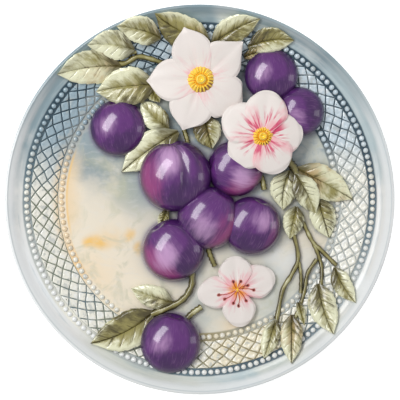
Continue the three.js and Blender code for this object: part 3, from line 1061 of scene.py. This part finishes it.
class PLATE_OT_add_plums(bpy.types.Operator):
    """Shape the nine plums from spheres sunk into the dish"""

    bl_idname = "wall_plate.add_plums"
    bl_label = "Add plums"

    def execute(self, context):
        form = PlateForm()
        material = plum_material()
        for number, plum in enumerate(PLUMS, 1):
            self.add_plum(form, number, plum, material)
        return {"FINISHED"}

    def add_plum(self, form, number, plum, material):
        fruit = ball(72, 48)
        points = points_of(fruit)
        turn = np.arctan2(points[:, 1], points[:, 0])
        fullness = from_axis(points)
        # The cleft runs from the stalk end and fades away over the plum's upper side.
        gap = turn - math.radians(26) + 0.2 * (1 - points[:, 2])
        upper_side = smooth_step(points[:, 2], -0.6, 0.1) * fullness
        fold = bell(gap, 0.12) * upper_side
        swell = bell(gap - 0.36, 0.24) * upper_side
        cleft = plum["cleft"] * (fold - 0.35 * swell)
        dimple = 0.12 * bell(fullness, 0.22) * (points[:, 2] > 0)
        points *= (1 - cleft - dimple)[:, None]
        # The axis leans towards the viewer, with the stalk end at the plum's direction.
        lean = Matrix.Rotation(math.radians(-74), 3, "Y")
        facing = Matrix.Rotation(math.radians(plum["axis"] + 180), 3, "Z")
        points = points @ np.array(facing @ lean).T
        radius = plum["radius"] * form.share
        height = plum["height"] * form.share
        centre = Vector((*plum["at"], 0)) * form.share
        level = float(form.top(centre.length))
        wall_share = 0.25
        upper = points[:, 2] > 0
        depth = np.where(upper, height * (1 - wall_share), radius * 0.9)
        place = points.copy()
        blush_way = math.radians(plum["blush"])
        towards = points[:, 0] * math.cos(blush_way) + points[:, 1] * math.sin(blush_way)
        highlight_gap = from_axis(points[:, :2] - plum["glow"])
        points[:, :2] *= radius
        points[:, 2] *= depth
        points += (centre.x, centre.y, level + height * wall_share)
        points[:, 2] = np.maximum(points[:, 2], form.top_at(points) - form.sink)
        move_points(fruit, points)
        keep_vectors(fruit, "plum_place", place)
        warmth = plum["warmth"]
        # How strong the painted highlight and the painted shade in the cleft are at each point, with the
        # blush
        keep_values(
            fruit,
            blush=(smooth_step(towards, -0.1, 0.95) + 0.2) * warmth - 0.2,
            glow=bell(highlight_gap, 0.55) * (0.5 + warmth * 0.5),
            crease=fold * plum["cleft"] * 7,
        )
        close_up(fruit)
        finish(fruit, f"plum_{number}", material, 60)


# Leaves and petals


def half_width(spec, t):
    """Half width of a blade at t, as a share of its greatest."""
    return np.maximum(smooth_through(spec["widths"], t), 0.02)


def blade_plan(form, spec, t, s, teeth=0.0):
    """Plan of a blade: t runs from base to tip and s from its right edge, -1, to its left edge, 1."""
    base = np.array(spec["base"]) * form.share
    along = np.array(spec["tip"]) * form.share - base
    size = math.hypot(*along)
    across = np.array((-along[1], along[0])) / size
    half = half_width(spec, t) * spec["width"] * form.share / 2
    tip_pull = spec["rounding"] * np.abs(s) ** 2.2 * smooth_step(t, 0.35, 1)
    place = t - tip_pull
    bow = 4 * spec["bend"] * t * (1 - t) * size
    jag = 1 + teeth * (np.mod(t * spec["teeth"], 1) - 0.55) * np.abs(s) ** 5 * smooth_step(t, 0.03, 0.2)
    offset = bow + s * half * jag
    return base + place[..., None] * along + offset[..., None] * across


def slab(name, columns, rows):
    """A square plate of small faces: x runs across it, y along it, and its underside is at -1."""
    deselect()
    bpy.ops.mesh.primitive_grid_add(x_subdivisions=columns, y_subdivisions=rows, size=2)
    obj = bpy.context.object
    extrude(obj, -1)
    obj.name = name
    return obj


def leaf_spec(row):
    base_x, base_y, tip_x, tip_y, width, lift, bend, pale, gold, veins, dark_side = row
    bud = width < 8
    size = math.dist((base_x, base_y), (tip_x, tip_y))
    return {
        "base": (base_x, base_y),
        "tip": (tip_x, tip_y),
        "width": width,
        "widths": BUD_WIDTHS if bud else LEAF_WIDTHS,
        "lifts": (lift * 0.8, lift, lift * 0.85, lift * 0.55),
        "bend": bend,
        "dip": 0 if bud else 0.8,
        "rounding": 0.02,
        "teeth": 0 if bud else 7,
        "pull": 0,
        "pale": pale,
        "gold": gold,
        "veins": veins,
        "dark_side": dark_side,
        "size": size,
        "slant": width / 2 / size * 0.8,
    }


def petal_specs(blossom):
    specs = []
    for direction, size, width, widths, over in blossom["petals"]:
        turn = math.radians(direction)
        x, y = blossom["at"]
        lift = blossom["lift"] + over
        specs.append(
            {
                "base": (x, y),
                "tip": (x + size * math.cos(turn), y + size * math.sin(turn)),
                "width": width,
                "widths": widths,
                "lifts": (lift, lift * 1.02, lift - blossom["droop"]),
                "bend": 0,
                "dip": 0.3,
                "rounding": 0.03 if widths in (POINTED_WIDTHS, CORNER_WIDTHS) else 0.11,
                "teeth": 0,
                "pull": blossom["pull"],
            }
        )
    return specs


def set_blade(form, obj, spec, relief, teeth=0.0):
    """Shape a slab as a leaf or petal. relief gives the height of its face from t and s."""
    points = points_of(obj)
    s = points[:, 0]
    raw = (points[:, 1] + 1) / 2
    t = 0.5 - 0.5 * np.cos(math.pi * raw) if spec["teeth"] == 0 else raw
    upper = points[:, 2] > -0.5
    plan = blade_plan(form, spec, t, s, teeth)
    half = half_width(spec, t)
    lift = smooth_through(spec["lifts"], t) * form.share
    lift -= spec["dip"] * half * form.share * (1 - np.abs(s))
    face = np.column_stack((plan, form.top_at(plan) + lift + relief(t, s, half)))
    root = np.array(spec["base"]) * form.share
    buried = plan + (root - plan) * spec["pull"]
    underside = np.column_stack((buried, form.top_at(buried) - form.sink))
    move_points(obj, np.where(upper[:, None], face, underside))
    return t, s, upper


# Side veins on each side of a leaf
SIDE_VEINS = 5.5


def leaf_relief(spec, form):
    """The height of a leaf's face, and how near a place is to its side veins and its middle vein."""
    size = spec["size"]

    def side_veins(t, s):
        side = np.abs(s)
        start = (t - spec["slant"] * side) * SIDE_VEINS + 0.3 * (s > 0)
        gap = np.abs(start - np.round(start)) / SIDE_VEINS * size * form.share
        reach = 0.5 * MILLIMETRE * (1.1 - 0.5 * side)
        ends = smooth_step(t, 0.02, 0.15) * smooth_step(1 - t, 0, 0.12)
        return bell(gap, reach) * smooth_step(1 - side, 0.06, 0.3) * ends

    def middle_vein(s, half):
        gap = np.abs(s) * half * spec["width"] * form.share / 2
        return bell(gap, 0.55 * MILLIMETRE)

    def relief(t, s, half):
        plump = np.sin(math.pi * np.abs(s) ** 0.75) * 0.9 * MILLIMETRE * half
        edge_drop = smooth_step(np.abs(s), 0.84, 1.0) * 0.8 * MILLIMETRE
        carved = (0.42 * side_veins(t, s) + 0.5 * middle_vein(s, half)) * MILLIMETRE
        wave = 0.35 * MILLIMETRE * np.sin(t * 7 + size) * np.sin(s * 2.6 + size * 0.7)
        return plump - edge_drop - carved + wave

    return relief, side_veins, middle_vein


def leaf_material():
    palette = Palette("leaf_glaze_paint")
    place = palette.object_place
    cloud = palette.noise(place, 70, 3, 0.6) - 0.5
    fine = palette.noise(place, 330, 3, 0.6)
    along, margin, vein, pale = palette.values("along", "margin", "vein", "pale")
    gold, dark_side, chevron = palette.values("gold", "dark_side", "chevron")
    brushed = palette.vector(chevron, margin * 0.9, pale * 9 + gold * 5)
    strokes = palette.noise(brushed, 1.5, 4, 0.65) - 0.5
    hair = palette.noise(palette.vector(chevron * 4, margin * 0.8, gold * 7), 1.6, 2, 0.6)
    wetness = margin * 0.5 + along * 0.4 + pale * 0.55 - dark_side * 0.3 - 0.2
    wetness = wetness + cloud * 0.9 + strokes * 1.2
    colour = palette.mix(wetness.ease(0.15, 0.75), "leaf_olive", "leaf_pale")
    warm = gold * 0.9 + cloud * 1.2 + strokes * 0.6 - along * 0.35
    colour = colour.mix(warm.ease(0.15, 0.6) * 0.75, "leaf_gold")
    shade = dark_side * 0.6 - along * 0.6 - margin * 0.2 - pale * 0.35 + 0.2
    shade = shade + cloud * 1.6 - strokes * 2.4
    colour = colour.mix(shade.ease(-0.3, 0.5) * 0.85, "leaf_dark")
    line = (hair + vein * 0.12 - along * 0.05).ease(0.6, 0.7) * margin.ease(0.85, 0.5)
    colour = colour.mix(line * 0.5, "leaf_dark")
    colour = colour.mix(fine.ease(0.5, 0.75) * 0.25, "leaf_olive")
    root = (along + cloud * 0.4 + strokes * 0.3).ease(0.34, 0.04)
    colour = colour.mix(root * 0.75, "leaf_dark")
    colour = colour.mix((vein + cloud * 1.5 - strokes * 0.8).ease(0.35, 0.9) * 0.8, "leaf_dark")
    return palette.glaze(colour, fine)


class PLATE_OT_add_leaves(bpy.types.Operator):
    """Shape the leaves in their groups, with carved ribs and toothed edges"""

    bl_idname = "wall_plate.add_leaves"
    bl_label = "Add leaves"

    def execute(self, context):
        form = PlateForm()
        material = leaf_material()
        for name, rows in LEAVES.items():
            blades = [self.add_leaf(form, leaf_spec(row)) for row in rows]
            finish(join(blades), name, material, 45)
        return {"FINISHED"}

    def add_leaf(self, form, spec):
        obj = slab("leaf", 36, 72)
        relief, side_veins, middle_vein = leaf_relief(spec, form)
        t, s, upper = set_blade(form, obj, spec, relief, teeth=0.06)
        veins = np.maximum(side_veins(t, s) * 0.85, middle_vein(s, half_width(spec, t))) * upper
        keep_values(
            obj,
            vein=veins * spec["veins"],
            along=t,
            chevron=(t - spec["slant"] * np.abs(s)) * SIDE_VEINS + np.where(s > 0, 20, 0),
            margin=np.abs(s) ** 1.5,
            pale=spec["pale"],
            gold=spec["gold"],
            dark_side=s * spec["dark_side"],
        )
        turn_outwards(obj)
        return obj


# Stems


def stem_material():
    palette = Palette("stem_glaze_paint")
    crown = palette.value("crown")
    cloud = palette.noise(palette.object_place, 90, 3) - 0.5
    # Painted light and shade on the stems: dark olive on their sides, olive on top, and a pale painted
    # highlight along the crown
    colour = palette.mix((crown + cloud * 1.1).ease(0.6, 1.15), "leaf_dark", "leaf_olive")
    colour = colour.mix((crown + cloud * 1.2).ease(1, 1.3) * 0.6, "leaf_pale")
    return palette.glaze(colour)


class PLATE_OT_add_stems(bpy.types.Operator):
    """Run the stems over the dish as round ridges"""

    bl_idname = "wall_plate.add_stems"
    bl_label = "Add stems"

    def execute(self, context):
        form = PlateForm()
        material = stem_material()
        for name, lines in STEMS.items():
            stems = [self.add_stem(form, line, thickness) for line, thickness in lines]
            finish(join(stems), name, material, 60)
        return {"FINISHED"}

    def add_stem(self, form, line, thickness):
        line = np.array(line, float) * form.share
        steps = np.linspace(0, 1, 40)
        path = np.column_stack([smooth_through(line[:, i], steps) for i in (0, 1)])
        half = thickness * form.share / 2
        obj = slab("stem", 10, 39)
        points = points_of(obj)
        row = np.rint((points[:, 1] + 1) / 2 * 39).astype(int)
        way = np.gradient(path, axis=0)
        way /= np.linalg.norm(way, axis=1)[:, None]
        across = np.column_stack((-way[:, 1], way[:, 0]))
        width = half * (1 + 0.1 * np.sin(row * 0.9))
        angle = points[:, 0] * math.pi / 2
        plan = path[row] + across[row] * (np.sin(angle) * width)[:, None]
        level = form.top_at(path[row])
        upper = points[:, 2] > -0.5
        height = np.where(upper, level + half * (0.7 + 1.2 * np.cos(angle)), level - form.sink)
        move_points(obj, np.column_stack((plan, height)))
        # crown is 1 along the top of a stem and 0 at its sides, and carries the painted light and shade
        keep_values(obj, crown=np.where(upper, np.cos(angle), 0))
        turn_outwards(obj)
        return obj


# Blossoms


def petal_material():
    palette = Palette("petal_glaze_paint")
    along, side, seed, wash = palette.values("along", "side", "seed", "wash")
    streaks, stamen, core = palette.values("streaks", "stamen", "core")
    strokes = palette.noise(palette.vector(seed * 3.1, seed * 0.4, along * 0.9), 1.6, 3, 0.6)
    cloud = palette.noise(palette.object_place, 90, 3, 0.6)
    unrest = cloud - 0.5
    pinkness = wash + unrest * 0.7 + (strokes - 0.5) * 0.8 - along * 0.95 + side * 0.4 - 0.15
    colour = palette.mix(pinkness.ease(-0.05, 0.45) * 0.8, "petal_white", "petal_pink")
    inner = (along + unrest * 0.8).ease(0.72, 0.3)
    colour = colour.mix(strokes.ease(0.48, 0.58) * inner * streaks, "petal_streak")
    innermost = (along + unrest * 0.3).ease(0.34, 0.12)
    colour = colour.mix(strokes.ease(0.4, 0.5) * innermost * core, "heart_orange")
    colour = colour.mix(cloud.ease(0.45, 0.8) * 0.12, "well_grey")
    colour = colour.mix(stamen.ease(0.25, 0.7) * 0.9, "stamen_red")
    colour = colour.mix(stamen.ease(1.25, 1.7), "stamen_dark")
    return palette.glaze(colour, roughness=0.45, coat=0.12, coat_roughness=0.15, under=0.25)


def heart_material():
    palette = Palette("heart_glaze_paint")
    ridge, middle = palette.values("ridge", "middle")
    cloud = palette.noise(palette.object_place, 260, 2) - 0.5
    colour = palette.mix((ridge + cloud * 0.5).ease(0.12, 0.45), "heart_orange", "heart_yellow")
    x, y, _ = palette.parts(palette.value("heart_place", "Vector"))
    # Painted shade: the outer ring of each heart turns brown on its lower right, most in the gaps between
    # ridges
    low_right_shade = (x * 0.6 - y * 0.8 - (ridge - 0.5) * 0.9).ease(0.3, 0.8)
    colour = colour.mix(low_right_shade * middle.ease(0.5, 0.65) * 0.85, "heart_brown")
    colour = colour.mix(middle.ease(0.9, 1) * 0.7, "heart_orange")
    return palette.glaze(colour)


class PLATE_OT_add_blossoms(bpy.types.Operator):
    """Shape the three blossoms with their domed hearts"""

    bl_idname = "wall_plate.add_blossoms"
    bl_label = "Add blossoms"

    def execute(self, context):
        form = PlateForm()
        petals_paint = petal_material()
        heart_paint = heart_material()
        for number, blossom in enumerate(BLOSSOMS, 1):
            specs = petal_specs(blossom)
            petals = [self.add_petal(form, blossom, spec) for spec in specs]
            finish(join(petals), f"blossom_{number}", petals_paint, 45)
            heart = self.add_heart(form, blossom)
            finish(heart, f"blossom_heart_{number}", heart_paint, 60)
        return {"FINISHED"}

    def add_petal(self, form, blossom, spec):
        obj = slab("petal", 56, 56)
        size = math.dist(spec["base"], spec["tip"])

        def relief(t, s, half):
            crown = -0.7 * MILLIMETRE * np.abs(s) ** 2.4 * half
            edge_drop = smooth_step(np.abs(s), 0.86, 1.0) * 0.9 * MILLIMETRE
            tip_drop = smooth_step(t, 0.88, 1.0) * 0.9 * MILLIMETRE
            ripple = 0.16 * MILLIMETRE * np.sin(s * 5.5 + size) * smooth_step(t, 0.2, 0.6)
            fold = -0.35 * MILLIMETRE * bell(s, 0.13) * (1 - smooth_step(t, 0.35, 0.85))
            return crown - np.maximum(edge_drop, tip_drop) + ripple + fold

        t, s, upper = set_blade(form, obj, spec, relief)
        points = points_of(obj)[:, :2] / form.share - np.array(blossom["at"])
        stamen = np.zeros(len(t))
        has_stamens = blossom is BLOSSOMS[2]
        if has_stamens:
            for tip in STAMENS:
                stamen = np.maximum(stamen, painted_stamen(points, np.array(tip)))
        keep_values(
            obj,
            along=from_axis(points) / size,
            seed=np.arctan2(points[:, 1], points[:, 0]),
            stamen=stamen * upper,
            core=float(has_stamens),
            side=np.abs(s),
            wash=blossom["wash"],
            streaks=blossom["streaks"],
        )
        turn_outwards(obj)
        return obj

    def add_heart(self, form, blossom):
        heart = ball(96, 40)
        points = points_of(heart)
        reach = from_axis(points)
        turn = np.arctan2(points[:, 1], points[:, 0])
        ridge = 0.5 + 0.5 * np.cos(turn * 20 + 0.8 * np.sin(turn * 3))
        outer = smooth_step(reach, 0.44, 0.56)
        button = 0.3 * (bell(reach - 0.24, 0.09) - bell(reach - 0.44, 0.07))
        swell = 1 + 0.24 * (ridge - 0.5) * outer
        radius = blossom["heart"] * form.share
        centre = Vector((*blossom["at"], 0)) * form.share
        level = float(form.top(centre.length)) + blossom["lift"] * form.share * 0.8
        rise = blossom["heart"] * 0.45 * form.share + blossom["lift"] * form.share * 0.2
        growth = np.where(points[:, 2] > 0, swell + button, 1)
        placed = points * (radius, radius, rise)
        placed[:, 2] *= growth
        move_points(heart, placed + (centre.x, centre.y, level))
        ring = bell(reach - 0.38, 0.05) + 0.7 * bell(reach, 0.12)
        keep_values(heart, ridge=np.where(reach < 0.44, 1 - ring, ridge * 0.85 + 0.15), middle=reach)
        keep_vectors(heart, "heart_place", points)
        return heart


def painted_stamen(points, tip):
    """1 along a thin curved line from the middle to a stamen's tip, and 2 on the tip's dark spot."""
    line_half = 0.24
    spot = 0.8
    side = np.array((-tip[1], tip[0])) * 0.08
    reached = np.zeros(len(points))
    for part in np.linspace(0.15, 1, 40):
        centre = tip * part + side * math.sin(part * math.pi)
        gap = from_axis(points - centre)
        reached = np.maximum(reached, smooth_step(-gap, -line_half * 1.5, -line_half * 0.5))
    gap = from_axis(points - tip)
    return reached + smooth_step(-gap, -spot, -spot * 0.5) + 0.6 * smooth_step(-gap, -spot * 3, 0)


# Stage


class PLATE_OT_add_stage(bpy.types.Operator):
    """Set the pale floor, the soft lights and the camera over the plate"""

    bl_idname = "wall_plate.add_stage"
    bl_label = "Add stage"

    def execute(self, context):
        scene = context.scene
        deselect()
        bpy.ops.mesh.primitive_plane_add(size=6)
        floor = context.object
        floor.name = "floor"
        palette = Palette("floor_paint")
        sockets = {
            "Base Color": tint("floor"),
            "Roughness": 0.9,
            "Emission Color": tint("floor"),
            "Emission Strength": 0.55,
        }
        surface = palette.add("ShaderNodeBsdfPrincipled", None, sockets)
        palette.add("ShaderNodeOutputMaterial", None, {"Surface": surface}, output=None)
        floor.data.materials.append(palette.material)
        self.add_light(context, "window_left", 147, 33, 0.9, (0.74, 0.32), 5.4)
        self.add_light(context, "window_right", 0, 84, 1.0, (0.3, 1.1), 1.6)
        world = bpy.data.worlds.new("studio")
        world.use_nodes = True
        background = world.node_tree.nodes["Background"]
        background.inputs["Color"].default_value = (1, 1, 1, 1)
        background.inputs["Strength"].default_value = 0.5
        scene.world = world
        scene.view_settings.view_transform = "Standard"
        self.add_camera(context)
        return {"FINISHED"}

    def add_light(self, context, name, azimuth, zenith, distance, size, power):
        """An area light that faces the plate. azimuth and zenith place it, in degrees."""
        data = bpy.data.lights.new(name, "AREA")
        data.shape = "RECTANGLE"
        data.size, data.size_y = size
        data.energy = power
        light = bpy.data.objects.new(name, data)
        turn, tilt = math.radians(azimuth), math.radians(zenith)
        way = Vector((math.sin(tilt) * math.cos(turn), math.sin(tilt) * math.sin(turn), math.cos(tilt)))
        light.location = way * distance
        light.rotation_euler = way.to_track_quat("Z", "Y").to_euler()
        light.visible_camera = False
        context.collection.objects.link(light)

    def add_camera(self, context):
        """A long lens straight over the plate; its small offset is given in 400ths of the frame's width.
        """
        frame_width = 0.2564
        lens, sensor = 165, 36
        data = bpy.data.cameras.new("camera")
        data.lens = lens
        data.sensor_width = sensor
        data.clip_end = 10
        camera = bpy.data.objects.new("camera", data)
        pixel = frame_width / 400
        rim_level = 0.024
        camera.location = (0.4 * pixel, -0.6 * pixel, rim_level + frame_width * lens / sensor)
        context.collection.objects.link(camera)
        context.scene.camera = camera


class PLATE_PT_sidebar(bpy.types.Panel):
    """Sizes and colours of the plate, and the steps that build it"""

    bl_idname = "PLATE_PT_sidebar"
    bl_label = "Wall plate"
    bl_space_type = "VIEW_3D"
    bl_region_type = "UI"
    bl_category = "Wall plate"

    def draw(self, context):
        layout = self.layout
        for group in (context.scene.plate_sizes, context.scene.plate_colours):
            box = layout.box()
            for name in group.__annotations__:
                box.prop(group, name, text=name.replace("_", " ").capitalize())
        for step in STEPS:
            layout.operator(step.bl_idname)


STEPS = [
    PLATE_OT_add_stage,
    PLATE_OT_add_dish,
    PLATE_OT_add_lattice,
    PLATE_OT_add_beads,
    PLATE_OT_add_plums,
    PLATE_OT_add_leaves,
    PLATE_OT_add_stems,
    PLATE_OT_add_blossoms,
]
CLASSES = [PlateSizes, PlateColours, *STEPS, PLATE_PT_sidebar]


def register():
    for cls in CLASSES:
        bpy.utils.register_class(cls)
    bpy.types.Scene.plate_sizes = bpy.props.PointerProperty(type=PlateSizes)
    bpy.types.Scene.plate_colours = bpy.props.PointerProperty(type=PlateColours)


def unregister():
    del bpy.types.Scene.plate_colours
    del bpy.types.Scene.plate_sizes
    for cls in reversed(CLASSES):
        bpy.utils.unregister_class(cls)


def main():
    register()
    bpy.ops.wall_plate.add_stage()
    bpy.ops.wall_plate.add_dish()
    bpy.ops.wall_plate.add_lattice()
    bpy.ops.wall_plate.add_beads()
    bpy.ops.wall_plate.add_plums()
    bpy.ops.wall_plate.add_leaves()
    bpy.ops.wall_plate.add_stems()
    bpy.ops.wall_plate.add_blossoms()


if __name__ == "__main__":
    main()
